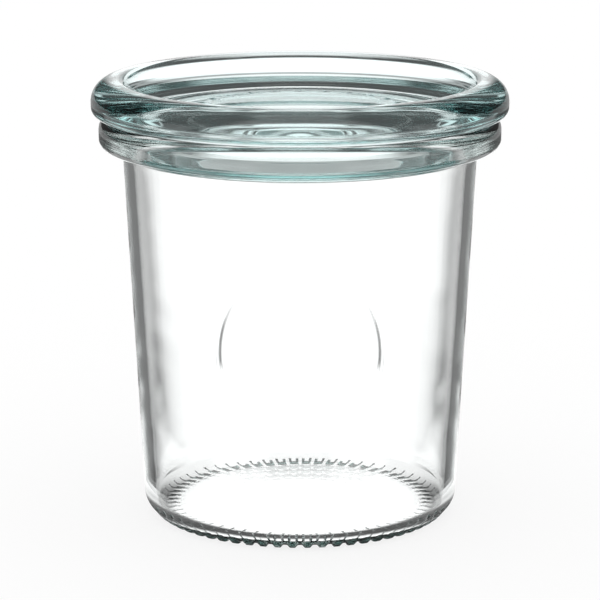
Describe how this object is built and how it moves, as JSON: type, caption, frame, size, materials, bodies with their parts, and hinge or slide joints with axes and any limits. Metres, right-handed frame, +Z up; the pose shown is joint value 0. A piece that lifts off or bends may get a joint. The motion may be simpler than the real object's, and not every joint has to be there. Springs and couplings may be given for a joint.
{
  "type": "canning jar",
  "caption": "Tapered clear glass preserving jar with a rounded sealing rim, a loose glass lid with a raised edge, and a knurled base ring; empty.",
  "frame": {"origin": "centre of the plane that the knurled base ring stands on", "axes": "+Z up along the axis that both pieces are turned about; +X and +Y are level; the jar's front faces -Y"},
  "size_m": [0.07, 0.07, 0.0745],
  "materials": {
    "clear_glass": "clear polished soda-lime glass, faint green in thick sections"
  },
  "bodies": {
    "root": {"jar": "clear_glass", "lid": "clear_glass"}
  },
  "joints": []
}
